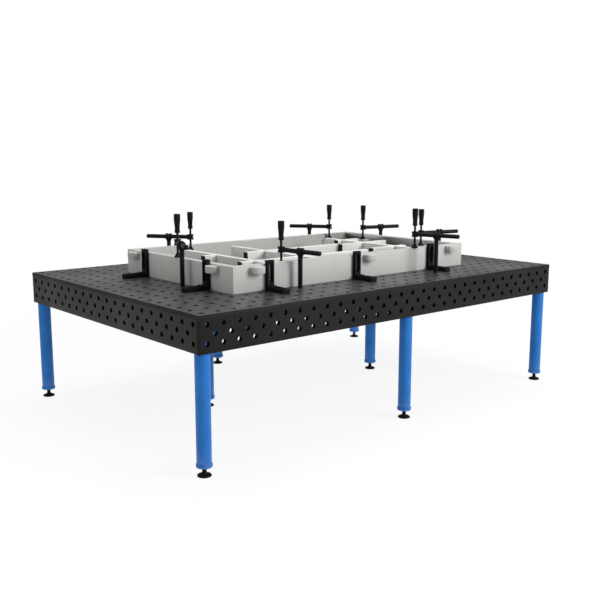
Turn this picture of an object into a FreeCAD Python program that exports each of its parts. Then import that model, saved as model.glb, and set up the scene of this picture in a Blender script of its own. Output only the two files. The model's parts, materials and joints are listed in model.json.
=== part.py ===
import FreeCAD, Part
import math
import os

os.makedirs("parts", exist_ok=True)
V = FreeCAD.Vector
UP = V(0, 0, 1)

# ---- Driving dimensions, in millimetres. Origin: floor level, under the middle of the table. ----

# Table box
TABLE_LENGTH = 3000          # along X
TABLE_WIDTH = 2000           # along Y
TABLE_HEIGHT = 850           # floor to working surface
BOX_DEPTH = 200              # depth of the five-sided box
PLATE = 25                   # thickness of the top and of the four sides
EDGE_RADIUS = 3

# System holes
HOLE_R = 14.0                # 28 mm system
PITCH = 100                  # hole spacing on the top and along the sides
EDGE_TO_HOLE = 50            # edge to the first hole
ROW_DEPTHS = (50, 100, 150)  # side rows below the working surface; the middle one is staggered

# Ribs under the top
RIB = 12
RIB_BOTTOM = 662
CROSS_RIB_X = (-1000, -500, 0, 500, 1000)
LONG_RIB_Y = (-500, 0, 500)

# Legs
LEG_XY = ((-1450, -950), (50, -950), (1450, -950), (-750, 50),
          (750, 50), (-1450, 950), (-50, 950), (1450, 950))
TUBE_R = 40.0
TUBE_WALL = 4.0
TUBE_BOTTOM = 68.0
LEG_PLATE = 140.0            # square plate welded inside the box
LEG_PLATE_T = 12.0
PLUG_T = 20.0
COLLAR_R = 43.5
COLLAR_BOTTOM = 50.0
SPIGOT_T = 14.0
SCREW_R = 12.0               # M24 levelling screw and leg stud
RUN = 0.05                   # radial running clearance of moving fits
SCREW_TOP = 160.0
DISC_R = 38.0
DISC_RIM = 9.0
FOOT_HUB_R = 15.0
FOOT_HUB_TOP = 21.5
FOOT_BALL_R = 9.0
FOOT_BALL_Z = 12.5

# Screw clamps: name, column hole x and y, arm direction in degrees, height of the arm axis
ARM_LOW = 1064.0
ARM_HIGH = 1098.0
CLAMPS = (("a", -1050, -150, 66.5, ARM_HIGH), ("b", -650, 650, 307, ARM_LOW),
          ("c", -550, -650, 95.5, ARM_LOW), ("d", 650, 650, 307, ARM_LOW),
          ("e", 1050, 250, 164, ARM_LOW), ("f", 550, -750, 105, ARM_HIGH),
          ("g", 1050, -350, 165, ARM_LOW))
COLUMN_R = 13.95
COLUMN_LENGTH = 304.0        # below the arm axis
HEAD_R = 19.5
HEAD_LENGTH = 36.0
HEAD_RIM_R = 23.0
HEAD_RIM = 9.0
ARM_R = 14.0
ARM_REACH = 160.0            # column axis to spindle axis
ARM_TAIL = 160.0             # column axis to the free end
BOSS_R = 19.0
BOSS_RIM_R = 23.0
BOSS_H = 36.0
SPINDLE_R = 8.0
PAD_DROP = 93.0              # arm axis down to the underside of the pad
PAD_R = 22.0
PAD_H = 28.0
PAD_BALL_R = 6.0
PAD_BALL_Z = 17.0
PAD_GAP = 0.2
GRIP_BOTTOM = 56.0           # above the arm axis
GRIP_LENGTH = 116.0

# Angle stops: x, y of the foot of the working face on the centre line, and outward direction
STOPS = ((-750, -600, 270), (-50, -600, 270), (650, -600, 270), (-1000, -350, 180), (-1000, 350, 180))
STOP_WIDTH = 50.0
STOP_T = 25.0
STOP_BASE_T = 27.0
STOP_HEIGHT = 177.0
STOP_LENGTH = 170.0
STOP_BOLT_OUT = 50.0         # working face to the bolt
BOLT_HEAD_R = 19.0
BOLT_HEAD_T = 5.0

# Workpiece frame held on the table
WORK_X = 1000.0              # half length
WORK_Y = 600.0               # half width
WORK_H = 155.0
WALL_W = 50.0
WALL_T = 4.0
BAR_W = 40.0
BAR_H = 150.0                # the bars stand lower than the frame
BAR_T = 3.0
BAR_X = (-700, -323, 547)    # bars running along Y
BAR_Y_TO = 340.0             # their free ends
# bars running along X: y, and the stretches between the other bars
CROSS_BARS = ((-405, ((-810, -720), (-680, -343), (-303, 240))),
              (-377, ((316, 527), (567, 640))),
              (-62, ((325, 527), (567, 768))),
              (-20, ((-480, -343), (-303, 335))),
              (-10, ((-805, -720),)),
              (160, ((488, 527), (567, 700))))
CAP_T = 4.0
LUG_R = 55.0
LUG_HALF = 42.0              # their ends are cut square
LUG_T = 40.0
LUG_DROP = 8.0               # below the frame's upper face
LUG_LEFT_Y = (-418, 488)
LUG_FRONT_X = (-841, 64, 864)
TAB_W = 60.0
TAB_T = 16.0
TAB_TOP = ARM_LOW - PAD_DROP

DECK = TABLE_HEIGHT
UNDERSIDE = DECK - PLATE
BOX_BOTTOM = DECK - BOX_DEPTH
HALF_L = TABLE_LENGTH / 2
HALF_W = TABLE_WIDTH / 2


# ---- Helpers ----

def save(node, solids):
    """Write one node, made of one or more separate solids, as parts/NODE.step."""
    shape = solids[0] if len(solids) == 1 else Part.makeCompound(solids)
    shape.exportStep("parts/" + node + ".step")


def box(x0, x1, y0, y1, z0, z1):
    return Part.makeBox(x1 - x0, y1 - y0, z1 - z0, V(x0, y0, z0))


def rod(x, y, z0, z1, r):
    return Part.makeCylinder(r, z1 - z0, V(x, y, z0))


def revolve(points):
    """Turn a closed (radius, height) outline about the Z axis."""
    wire = Part.makePolygon([V(r, 0, z) for r, z in points + [points[0]]])
    return Part.Face(wire).revolve(V(0, 0, 0), UP, 360)


def ball_tip(ball_r, ball_z, neck_r, neck_top):
    """Ball at ball_z with a neck rising to neck_top, as the lower end of a screw."""
    ball = Part.makeSphere(ball_r, V(0, 0, ball_z))
    return ball.fuse(rod(0, 0, ball_z, neck_top, neck_r))


def placed(shape, x, y, z=0.0, turn=0.0):
    """Copy turned by an angle about Z, then moved."""
    copy = shape.copy()
    copy.rotate(V(0, 0, 0), UP, turn)
    copy.translate(V(x, y, z))
    return copy


def perforated(outline_wire, holes, direction):
    """Plate with round through holes: outline and circles extruded together."""
    face = Part.makeFace([outline_wire] + holes, "Part::FaceMakerBullseye")
    return face.extrude(direction)


def centres(count, start):
    return [start + PITCH * i for i in range(count)]


# ---- Table box ----

def tabletop():
    outline = Part.makePolygon([V(x, y, UNDERSIDE) for x, y in (
        (-HALF_L, -HALF_W), (HALF_L, -HALF_W), (HALF_L, HALF_W), (-HALF_L, HALF_W), (-HALF_L, -HALF_W))])
    holes = []
    for x in centres(TABLE_LENGTH // PITCH, -HALF_L + EDGE_TO_HOLE):
        for y in centres(TABLE_WIDTH // PITCH, -HALF_W + EDGE_TO_HOLE):
            holes.append(Part.Wire(Part.makeCircle(HOLE_R, V(x, y, UNDERSIDE), UP)))
    plate = perforated(outline, holes, V(0, 0, PLATE))
    straight = [e for e in plate.Edges if isinstance(e.Curve, Part.Line)]
    corners = [e for e in straight if abs(e.CenterOfMass.x) > HALF_L - 1 and abs(e.CenterOfMass.y) > HALF_W - 1]
    rims = [e for e in straight if abs(e.CenterOfMass.z - DECK) < 0.01]
    return plate.makeFillet(EDGE_RADIUS, corners + rims).Solids[0]


def side_holes(half_length):
    """Hole positions (along the side, height) of the three rows."""
    spots = []
    for row, depth in enumerate(ROW_DEPTHS):
        start = -half_length + EDGE_TO_HOLE * (2 if row == 1 else 1)
        count = int(2 * half_length) // PITCH - (1 if row == 1 else 0)
        spots += [(s, DECK - depth) for s in centres(count, start)]
    return spots


def long_side(outer_y):
    """Front or back side, running the full length."""
    inner_y = outer_y - math.copysign(PLATE, outer_y)
    outline = Part.makePolygon([V(x, outer_y, z) for x, z in (
        (-HALF_L, BOX_BOTTOM), (HALF_L, BOX_BOTTOM), (HALF_L, UNDERSIDE), (-HALF_L, UNDERSIDE),
        (-HALF_L, BOX_BOTTOM))])
    holes = [Part.Wire(Part.makeCircle(HOLE_R, V(x, outer_y, z), V(0, 1, 0))) for x, z in side_holes(HALF_L)]
    return perforated(outline, holes, V(0, inner_y - outer_y, 0))


def short_side(outer_x):
    """Left or right side, fitted between the long sides."""
    inner_x = outer_x - math.copysign(PLATE, outer_x)
    end = HALF_W - PLATE
    outline = Part.makePolygon([V(outer_x, y, z) for y, z in (
        (-end, BOX_BOTTOM), (end, BOX_BOTTOM), (end, UNDERSIDE), (-end, UNDERSIDE), (-end, BOX_BOTTOM))])
    holes = [Part.Wire(Part.makeCircle(HOLE_R, V(outer_x, y, z), V(1, 0, 0))) for y, z in side_holes(HALF_W)]
    return perforated(outline, holes, V(inner_x - outer_x, 0, 0))


def cross_ribs():
    end = HALF_W - PLATE
    return [box(x - RIB / 2, x + RIB / 2, -end, end, RIB_BOTTOM, UNDERSIDE) for x in CROSS_RIB_X]


def long_ribs():
    """Long ribs, in lengths welded between the cross ribs."""
    edges = [-HALF_L + PLATE]
    for x in CROSS_RIB_X:
        edges += [x - RIB / 2, x + RIB / 2]
    edges.append(HALF_L - PLATE)
    spans = list(zip(edges[0::2], edges[1::2]))
    return [box(x0, x1, y - RIB / 2, y + RIB / 2, RIB_BOTTOM, UNDERSIDE)
            for y in LONG_RIB_Y for x0, x1 in spans]


# ---- Legs ----

def leg_plates():
    """Square plates inside the box, cut back at its walls."""
    inside_x, inside_y, half = HALF_L - PLATE, HALF_W - PLATE, LEG_PLATE / 2
    plates = []
    for x, y in LEG_XY:
        plate = box(max(x - half, -inside_x), min(x + half, inside_x),
                    max(y - half, -inside_y), min(y + half, inside_y), BOX_BOTTOM, BOX_BOTTOM + LEG_PLATE_T)
        plates.append(plate.cut(rod(x, y, BOX_BOTTOM - 1, BOX_BOTTOM + LEG_PLATE_T + 1, SCREW_R + 1)))
    return plates


def leg_tubes():
    """Leg tubes, each with the threaded plug welded into its top."""
    solids = []
    for x, y in LEG_XY:
        tube = rod(x, y, TUBE_BOTTOM, BOX_BOTTOM, TUBE_R)
        solids.append(tube.cut(rod(x, y, TUBE_BOTTOM - 1, BOX_BOTTOM + 1, TUBE_R - TUBE_WALL)))
        plug = rod(x, y, BOX_BOTTOM - PLUG_T, BOX_BOTTOM, TUBE_R - TUBE_WALL)
        solids.append(plug.cut(rod(x, y, BOX_BOTTOM - PLUG_T - 1, BOX_BOTTOM + 1, SCREW_R + RUN)))
    return solids


def leg_studs():
    """Stud and hexagon nut that hold each leg to its plate."""
    solids = []
    plate_top = BOX_BOTTOM + LEG_PLATE_T
    for x, y in LEG_XY:
        solids.append(rod(x, y, BOX_BOTTOM - PLUG_T, plate_top + 28, SCREW_R))
        hexagon = [V(x + 20.8 * math.cos(math.radians(60 * i)), y + 20.8 * math.sin(math.radians(60 * i)),
                     plate_top) for i in range(7)]
        nut = Part.Face(Part.makePolygon(hexagon)).extrude(V(0, 0, 19))
        solids.append(nut.cut(rod(x, y, plate_top - 1, plate_top + 20, SCREW_R + RUN)))
    return solids


def leg_collars():
    """Threaded end rings of the leg tubes."""
    ring = rod(0, 0, COLLAR_BOTTOM, TUBE_BOTTOM, COLLAR_R)
    ring = ring.makeFillet(3.5, [e for e in ring.Edges if isinstance(e.Curve, Part.Circle)])
    ring = ring.fuse(rod(0, 0, TUBE_BOTTOM, TUBE_BOTTOM + SPIGOT_T, TUBE_R - TUBE_WALL - 0.1))
    ring = ring.cut(rod(0, 0, 0, SCREW_TOP, SCREW_R + RUN))
    return [placed(ring, x, y) for x, y in LEG_XY]


def foot_disc():
    """Swivel disc: flat rubbered base, rounded rim, domed top and a hub with the ball socket."""
    body = revolve([(0, 0), (DISC_R - 2, 0), (DISC_R, 2), (DISC_R, DISC_RIM - 3), (DISC_R - 3, DISC_RIM),
                    (DISC_R - 12, DISC_RIM + 3), (FOOT_HUB_R + 2, DISC_RIM + 6), (FOOT_HUB_R, FOOT_HUB_TOP - 1),
                    (FOOT_HUB_R - 1, FOOT_HUB_TOP), (0, FOOT_HUB_TOP)])
    body = body.cut(Part.makeSphere(FOOT_BALL_R + RUN, V(0, 0, FOOT_BALL_Z)))
    return body.cut(rod(0, 0, FOOT_BALL_Z, FOOT_HUB_TOP + 1, FOOT_BALL_R - 1.2))


def foot_screw():
    """Levelling screw with its ball tip."""
    shank = rod(0, 0, FOOT_HUB_TOP + 2, SCREW_TOP, SCREW_R)
    return shank.fuse(ball_tip(FOOT_BALL_R, FOOT_BALL_Z, FOOT_BALL_R - 1.6, FOOT_HUB_TOP + 3))


# ---- Screw clamps: each is drawn with its arm along +X and the arm axis at height 0 ----

def clamp_column():
    """Column with the neck and the sleeve that the arm slides through."""
    half = HEAD_LENGTH / 2
    along = V(1, 0, 0)
    sleeve = Part.makeCylinder(HEAD_R, HEAD_LENGTH, V(-half, 0, 0), along)
    for x in (-half, half - HEAD_RIM):
        sleeve = sleeve.fuse(Part.makeCylinder(HEAD_RIM_R, HEAD_RIM, V(x, 0, 0), along))
    neck = Part.makeCone(COLUMN_R, 21, 22, V(0, 0, -36))
    column = rod(0, 0, -COLUMN_LENGTH, 0, COLUMN_R)
    tip = [e for e in column.Edges if isinstance(e.Curve, Part.Circle) and e.CenterOfMass.z < -1]
    body = column.makeChamfer(2, tip).fuse([neck, sleeve])
    return body.removeSplitter().cut(
        Part.makeCylinder(ARM_R + RUN, 2 * HEAD_LENGTH, V(-HEAD_LENGTH, 0, 0), along))


def clamp_arm():
    """Round arm and the flanged boss that carries the spindle nut thread."""
    half = BOSS_H / 2
    bar = Part.makeCylinder(ARM_R, ARM_TAIL + ARM_REACH, V(-ARM_TAIL, 0, 0), V(1, 0, 0))
    bar = bar.makeChamfer(1.5, [e for e in bar.Edges if abs(e.CenterOfMass.x + ARM_TAIL) < 0.01])
    boss = revolve([(0, -half), (BOSS_RIM_R, -half), (BOSS_RIM_R, -half + 6), (BOSS_R, -half + 9),
                    (BOSS_R, half - 9), (BOSS_RIM_R, half - 6), (BOSS_RIM_R, half), (0, half)])
    boss.translate(V(ARM_REACH, 0, 0))
    return bar.fuse(boss).removeSplitter().cut(
        rod(ARM_REACH, 0, -BOSS_H, BOSS_H, SPINDLE_R + RUN))


def clamp_spindle():
    """Spindle with its ball tip, and the grip fixed on its upper end."""
    foot = PAD_GAP - PAD_DROP
    top = GRIP_BOTTOM + GRIP_LENGTH
    shank = rod(0, 0, foot + PAD_H + 2, top - 6, SPINDLE_R)
    shank = shank.fuse(ball_tip(PAD_BALL_R, foot + PAD_BALL_Z, PAD_BALL_R - 1.4, foot + PAD_H + 3))
    grip = revolve([(SPINDLE_R, GRIP_BOTTOM), (13, GRIP_BOTTOM), (16, GRIP_BOTTOM + 3), (16.4, GRIP_BOTTOM + 9),
                    (14.5, GRIP_BOTTOM + 20), (14.5, GRIP_BOTTOM + 36), (16.4, GRIP_BOTTOM + 66),
                    (18.4, GRIP_BOTTOM + 92), (19, top - 12), (19, top - 2), (17, top), (0, top), (0, top - 6),
                    (SPINDLE_R, top - 6)])
    return [placed(shank, ARM_REACH, 0), placed(grip, ARM_REACH, 0)]


def clamp_pad():
    """Flared pad with the socket for the spindle's ball tip."""
    foot = PAD_GAP - PAD_DROP
    body = revolve([(0, foot), (PAD_R, foot), (PAD_R, foot + 6), (18, foot + 11), (12, foot + 19),
                    (10.5, foot + PAD_H - 1), (9.5, foot + PAD_H), (0, foot + PAD_H)])
    body = body.cut(Part.makeSphere(PAD_BALL_R + RUN, V(0, 0, foot + PAD_BALL_Z)))
    body = body.cut(rod(0, 0, foot + PAD_BALL_Z, foot + PAD_H + 1, PAD_BALL_R - 0.8))
    return placed(body, ARM_REACH, 0)


# ---- Angle stops ----

def slot(length, depth):
    """Slot cutter as wide as a system hole, lying along X from 0 and rising along Z."""
    ends = rod(0, 0, 0, depth, HOLE_R).fuse(rod(length, 0, 0, depth, HOLE_R))
    return ends.fuse(box(0, length, -HOLE_R, HOLE_R, 0, depth)).removeSplitter()


def angle_stop():
    """L-shaped stop drawn with its working face on X = 0 and its base along +X."""
    half = STOP_WIDTH / 2
    upright = box(0, STOP_T, -half, half, 0, STOP_HEIGHT)
    base = box(0, STOP_LENGTH, -half, half, 0, STOP_BASE_T)
    body = upright.fuse(base).removeSplitter()
    outer = [e for e in body.Edges if e.CenterOfMass.x > STOP_LENGTH - 1 and abs(e.tangentAt(0).z) > 0.9]
    body = body.makeFillet(4, outer)
    window = slot(83, STOP_T + 2)
    window.rotate(V(0, 0, 0), V(0, 1, 0), -90)
    window.translate(V(STOP_T + 1, 0, 61))
    bed = slot(90, STOP_BASE_T + 2)
    bed.translate(V(STOP_BOLT_OUT, 0, -1))
    return body.cut(window).cut(bed)


def stop_bolt():
    """Clamping bolt through the base slot and the table hole, with its locking ring under the top."""
    top = STOP_BASE_T + BOLT_HEAD_T
    head = rod(0, 0, STOP_BASE_T, top, BOLT_HEAD_R).cut(rod(0, 0, top - 3, top + 1, 5))
    shank = rod(0, 0, -PLATE - 12, STOP_BASE_T, HOLE_R - RUN)
    ring = rod(0, 0, -PLATE - 9, -PLATE, HOLE_R + 3)
    return head.fuse([shank, ring]).removeSplitter()


def stops():
    return [placed(angle_stop(), x, y, DECK, turn) for x, y, turn in STOPS]


def stop_bolts():
    bolts = []
    for x, y, turn in STOPS:
        a = math.radians(turn)
        out_x, out_y = STOP_BOLT_OUT * math.cos(a), STOP_BOLT_OUT * math.sin(a)
        bolts.append(placed(stop_bolt(), x + out_x, y + out_y, DECK))
    return bolts


# ---- Workpiece ----

def mitred_wall(length):
    """Hollow wall along X, outer face on Y = 0, ends mitred inwards at 45 degrees."""
    def prism(inset):
        z0, z1 = inset, WORK_H - inset
        half, y1 = length / 2, WALL_W - inset
        pts = ((-half + inset, inset), (half - inset, inset), (half - y1, y1), (-half + y1, y1))
        wire = Part.makePolygon([V(x, y, z0) for x, y in pts + (pts[0],)])
        return Part.Face(wire).extrude(V(0, 0, z1 - z0))
    return prism(0).cut(prism(WALL_T))


def work_frame():
    long_wall, short_wall = mitred_wall(2 * WORK_X), mitred_wall(2 * WORK_Y)
    return [placed(long_wall, 0, -WORK_Y, DECK), placed(long_wall, 0, WORK_Y, DECK, 180),
            placed(short_wall, -WORK_X, 0, DECK, -90), placed(short_wall, WORK_X, 0, DECK, 90)]


def work_bars():
    """Hollow bars inside the frame; caps close the free ends of the ones along X."""
    z0, z1, w, t = DECK, DECK + BAR_H, BAR_W / 2, BAR_T
    bars = []
    for x in BAR_X:
        y0 = -WORK_Y + WALL_W
        outer = box(x - w, x + w, y0, BAR_Y_TO, z0, z1)
        bars.append(outer.cut(box(x - w + t, x + w - t, y0 + t, BAR_Y_TO - t, z0 + t, z1 - t)))
    for y, spans in CROSS_BARS:
        for x0, x1 in spans:
            outer = box(x0, x1, y - w, y + w, z0, z1)
            bars.append(outer.cut(box(x0 - 1, x1 + 1, y - w + t, y + w - t, z0 + t, z1 - t)))
    return bars


def work_caps():
    """End caps on every bar end that doesn't meet a bar along Y."""
    joined = [x + side * BAR_W / 2 for x in BAR_X for side in (-1, 1)]
    caps = []
    for y, spans in CROSS_BARS:
        for x0, x1 in spans:
            for end, out in ((x0, -CAP_T), (x1, CAP_T)):
                if end not in joined:
                    caps.append(box(min(end, end + out), max(end, end + out), y - BAR_W / 2, y + BAR_W / 2,
                                    DECK, DECK + BAR_H))
    return caps


def work_lugs():
    """Half-round lugs on the outside, and the tabs under the pads that press inside the frame."""
    top = DECK + WORK_H - LUG_DROP
    bottom = top - LUG_T
    solids = []
    for y in LUG_LEFT_Y:
        outside = box(-WORK_X - LUG_R, -WORK_X, y - LUG_HALF, y + LUG_HALF, bottom, top)
        solids.append(rod(-WORK_X, y, bottom, top, LUG_R).common(outside))
    for x in LUG_FRONT_X:
        outside = box(x - LUG_HALF, x + LUG_HALF, -WORK_Y - LUG_R, -WORK_Y, bottom, top)
        solids.append(rod(x, -WORK_Y, bottom, top, LUG_R).common(outside))
    for name, cx, cy, turn, height in CLAMPS:
        if height != ARM_LOW:
            continue
        x = cx + ARM_REACH * math.cos(math.radians(turn))
        y = cy + ARM_REACH * math.sin(math.radians(turn))
        if abs(cx) > WORK_X:
            x0, x1 = x - 25, WORK_X - WALL_W
            solids.append(box(x0, x1, y - TAB_W / 2, y + TAB_W / 2, TAB_TOP - TAB_T, TAB_TOP))
        else:
            inner = math.copysign(WORK_Y - WALL_W, cy)
            y0, y1 = sorted((y - math.copysign(25, cy), inner))
            solids.append(box(x - TAB_W / 2, x + TAB_W / 2, y0, y1, TAB_TOP - TAB_T, TAB_TOP))
    return solids


# ---- Write every node ----

save("tabletop", [tabletop()])
save("sides_long", [long_side(-HALF_W), long_side(HALF_W)])
save("sides_short", [short_side(-HALF_L), short_side(HALF_L)])
save("ribs_cross", cross_ribs())
save("ribs_long", long_ribs())
save("leg_plates", leg_plates())
save("leg_tubes", leg_tubes())
save("leg_studs", leg_studs())
save("leg_collars", leg_collars())
save("angle_stops", stops())
save("stop_bolts", stop_bolts())
save("work_frame", work_frame())
save("work_bars", work_bars())
save("work_caps", work_caps())
save("work_lugs", work_lugs())

disc, screw = foot_disc(), foot_screw()
for i, (x, y) in enumerate(LEG_XY, start=1):
    save("foot%d_disc" % i, [placed(disc, x, y)])
    save("foot%d_screw" % i, [placed(screw, x, y)])

column, arm, spindle, pad = clamp_column(), clamp_arm(), clamp_spindle(), clamp_pad()
for name, x, y, turn, height in CLAMPS:
    save("clamp_%s_column" % name, [placed(column, x, y, height, turn)])
    save("clamp_%s_arm" % name, [placed(arm, x, y, height, turn)])
    save("clamp_%s_spindle" % name, [placed(s, x, y, height, turn) for s in spindle])
    save("clamp_%s_pad" % name, [placed(pad, x, y, height, turn)])
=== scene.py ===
import json
import math

import bmesh
import bpy
from mathutils import Matrix, Vector


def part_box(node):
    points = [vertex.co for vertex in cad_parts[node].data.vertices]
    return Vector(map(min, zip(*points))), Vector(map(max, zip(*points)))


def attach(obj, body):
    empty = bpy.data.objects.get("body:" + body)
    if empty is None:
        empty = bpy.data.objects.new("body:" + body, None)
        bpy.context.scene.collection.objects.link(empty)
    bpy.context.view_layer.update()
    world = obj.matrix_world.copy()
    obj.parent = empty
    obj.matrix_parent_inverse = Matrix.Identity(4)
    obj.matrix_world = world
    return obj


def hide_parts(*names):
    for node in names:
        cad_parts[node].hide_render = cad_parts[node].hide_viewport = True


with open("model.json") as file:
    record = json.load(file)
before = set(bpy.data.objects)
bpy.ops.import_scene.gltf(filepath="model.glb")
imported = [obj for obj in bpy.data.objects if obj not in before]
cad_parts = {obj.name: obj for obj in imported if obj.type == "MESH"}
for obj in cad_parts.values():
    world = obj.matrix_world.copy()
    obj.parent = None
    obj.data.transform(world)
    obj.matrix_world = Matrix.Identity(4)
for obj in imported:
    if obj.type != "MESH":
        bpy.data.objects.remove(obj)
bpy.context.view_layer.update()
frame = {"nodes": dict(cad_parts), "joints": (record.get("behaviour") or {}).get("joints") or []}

MM = 0.001
HOLE_R = 14.0            # system holes
GRID = 100.0             # their pitch
HALF_GRID = 50.0
HOLE_CHAMFER = 0.7
HOLE_STEPS = 24          # sides of a hole's circle
MESH_STEP = 25.0         # spacing of the points along a plate's seams
EDGE_R = 3.0             # rounding of the box's outer edges
ROUND_STEPS = 64         # sides of a large turned piece
JOINTS = {joint["name"]: joint for joint in frame["joints"]}
CLAMPS = "abcdefg"
FEET = range(1, 9)


# ---------------------------------------------------------------- shaders

class Shader:
    """A Principled material and short calls for the nodes that drive it."""

    def __init__(self, name, metallic=0.0, roughness=0.5, shine=0.5):
        self.material = bpy.data.materials.new(name)
        self.material.use_nodes = True
        self.tree = self.material.node_tree
        self.surface = self.tree.nodes["Principled BSDF"]
        self.surface.inputs["Metallic"].default_value = metallic
        self.surface.inputs["Roughness"].default_value = roughness
        self.surface.inputs["Specular IOR Level"].default_value = shine
        self.place = self.tree.nodes.new("ShaderNodeTexCoord").outputs["Object"]

    def _set(self, socket, value):
        if isinstance(value, bpy.types.NodeSocket):
            self.tree.links.new(value, socket)
        else:
            socket.default_value = value

    def drive(self, name, value):
        self._set(self.surface.inputs[name], value)

    def stretched(self, scale):
        """Object coordinates in metres, scaled apart along X, Y and Z."""
        node = self.tree.nodes.new("ShaderNodeMapping")
        self._set(node.inputs["Vector"], self.place)
        node.inputs["Scale"].default_value = scale
        return node.outputs["Vector"]

    def noise(self, scale, detail=3.0, stretch=None, rough=0.55):
        node = self.tree.nodes.new("ShaderNodeTexNoise")
        self._set(node.inputs["Vector"], self.stretched(stretch) if stretch else self.place)
        node.inputs["Scale"].default_value = scale
        node.inputs["Detail"].default_value = detail
        node.inputs["Roughness"].default_value = rough
        return node.outputs["Fac"]

    def cells(self, scale):
        """Distance to the nearest of scattered points, for specks and spatter."""
        node = self.tree.nodes.new("ShaderNodeTexVoronoi")
        self._set(node.inputs["Vector"], self.place)
        node.inputs["Scale"].default_value = scale
        return node.outputs["Distance"]

    def range(self, value, low, high, to_low=0.0, to_high=1.0):
        node = self.tree.nodes.new("ShaderNodeMapRange")
        for name, given in (("Value", value), ("From Min", low), ("From Max", high),
                            ("To Min", to_low), ("To Max", to_high)):
            self._set(node.inputs[name], given)
        return node.outputs["Result"]

    def mix(self, share, first, second):
        node = self.tree.nodes.new("ShaderNodeMix")
        node.data_type = "RGBA"
        self._set(node.inputs["Factor"], share)
        self._set(node.inputs["A"], first if isinstance(first, bpy.types.NodeSocket) else (*first, 1.0))
        self._set(node.inputs["B"], second if isinstance(second, bpy.types.NodeSocket) else (*second, 1.0))
        return next(o for o in node.outputs if o.type == "RGBA")

    def sum(self, first, second, weight=1.0):
        """first + weight * second."""
        node = self.tree.nodes.new("ShaderNodeMath")
        node.operation = "MULTIPLY_ADD"
        self._set(node.inputs[0], second)
        self._set(node.inputs[1], weight)
        self._set(node.inputs[2], first)
        return node.outputs[0]

    def product(self, first, second):
        return self.sum(0.0, first, second)

    def edges(self, low=0.52, high=0.62):
        """Share from 0 on flat areas to 1 on sharp convex edges."""
        geometry = self.tree.nodes.new("ShaderNodeNewGeometry")
        return self.range(geometry.outputs["Pointiness"], low, high)

    def height(self):
        """Height above the floor, in metres."""
        node = self.tree.nodes.new("ShaderNodeSeparateXYZ")
        self._set(node.inputs[0], self.place)
        return node.outputs["Z"]

    def bump(self, relief, depth, strength=0.6):
        node = self.tree.nodes.new("ShaderNodeBump")
        node.inputs["Distance"].default_value = depth
        node.inputs["Strength"].default_value = strength
        self._set(node.inputs["Height"], relief)
        self._set(self.surface.inputs["Normal"], node.outputs["Normal"])


def milled_plate(name, dark, light, streaks, metallic, roughness, shine=0.5):
    """Oiled milled plate: grinding streaks, hazy patches, smears and fine spatter specks."""
    s = Shader(name, metallic, shine=shine)
    lines = s.noise(1.0, 4.0, streaks)
    haze = s.noise(1.6, 4.0)
    smear = s.noise(9.0, 5.0)
    tone = s.mix(s.range(haze, 0.35, 0.68), dark, light)
    tone = s.mix(s.range(lines, 0.35, 0.75, 0.0, 0.35), tone, light)
    tone = s.mix(s.range(smear, 0.58, 0.75, 0.0, 0.3), tone, dark)
    specks = s.range(s.cells(55.0), 0.035, 0.055, 1.0, 0.0)
    tone = s.mix(s.product(specks, 0.55), tone, (0.012, 0.011, 0.011))
    s.drive("Base Color", tone)
    gloss = s.range(haze, 0.3, 0.7, roughness + 0.1, roughness - 0.07)
    s.drive("Roughness", s.sum(gloss, s.range(lines, 0.3, 0.7, -0.5, 0.5), 0.16))
    s.bump(s.sum(lines, specks, 1.5), 0.00025, 0.35)
    return s.material


def powder_coat(name, colour, deep, roughness=0.36):
    """Coloured powder coat with orange peel, faint mottling and dust near the floor."""
    s = Shader(name, shine=0.14)
    mottle = s.noise(14.0, 4.0)
    tone = s.mix(s.range(mottle, 0.3, 0.75), colour, deep)
    dust = s.range(s.height(), 0.045, 0.16, 0.22, 0.0)
    dusty = s.range(s.noise(60.0, 5.0), 0.4, 0.7, 0.0, 1.0)
    s.drive("Base Color", s.mix(s.product(dust, dusty), tone, (0.42, 0.42, 0.4)))
    s.drive("Roughness", s.range(mottle, 0.3, 0.7, roughness - 0.05, roughness + 0.08))
    s.drive("Coat Weight", 0.06)
    s.drive("Coat Roughness", 0.25)
    s.bump(s.noise(650.0, 2.0), 0.0003, 0.25)
    return s.material


def dark_metal(name, colour, worn, metallic, roughness, grain=700.0, shine=0.12):
    """Phosphated or black-oxide steel with handling wear that shows along its edges."""
    s = Shader(name, metallic, shine=shine)
    cloud = s.noise(35.0, 5.0)
    rubbed = s.range(s.noise(90.0, 5.0), 0.62, 0.78, 0.0, 0.35)
    tone = s.mix(s.range(cloud, 0.3, 0.7), colour, tuple(1.7 * c for c in colour))
    tone = s.mix(rubbed, tone, worn)
    tone = s.mix(s.product(s.edges(), 0.5), tone, worn)
    s.drive("Base Color", tone)
    s.drive("Roughness", s.range(cloud, 0.3, 0.7, roughness + 0.1, roughness - 0.06))
    s.bump(s.noise(grain, 3.0), 0.0004, 0.3)
    return s.material


def primer_paint(name, light, shade, roughness):
    """Light primer: roller mottling, smudges, fine specks, a painted highlight on its sharp edges and a
    slight tooth.
    """
    s = Shader(name, shine=0.3)
    broad = s.noise(2.2, 4.0)
    cloudy = s.noise(18.0, 5.0)
    tone = s.mix(s.range(broad, 0.3, 0.72), light, shade)
    tone = s.mix(s.range(cloudy, 0.55, 0.8, 0.0, 0.25), tone, tuple(0.8 * c for c in shade))
    specks = s.range(s.cells(140.0), 0.04, 0.07, 0.35, 0.0)
    tone = s.mix(specks, tone, (0.25, 0.25, 0.26))
    # Painted highlight: sharp convex edges are lightened towards pale grey, as if they catch the light.
    tone = s.mix(s.product(s.edges(0.53, 0.66), 0.25), tone, (0.66, 0.66, 0.65))
    s.drive("Base Color", tone)
    s.drive("Roughness", s.range(cloudy, 0.3, 0.7, roughness + 0.08, roughness - 0.08))
    s.bump(s.sum(s.noise(420.0, 3.0), broad, 0.4), 0.0004, 0.3)
    return s.material


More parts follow.
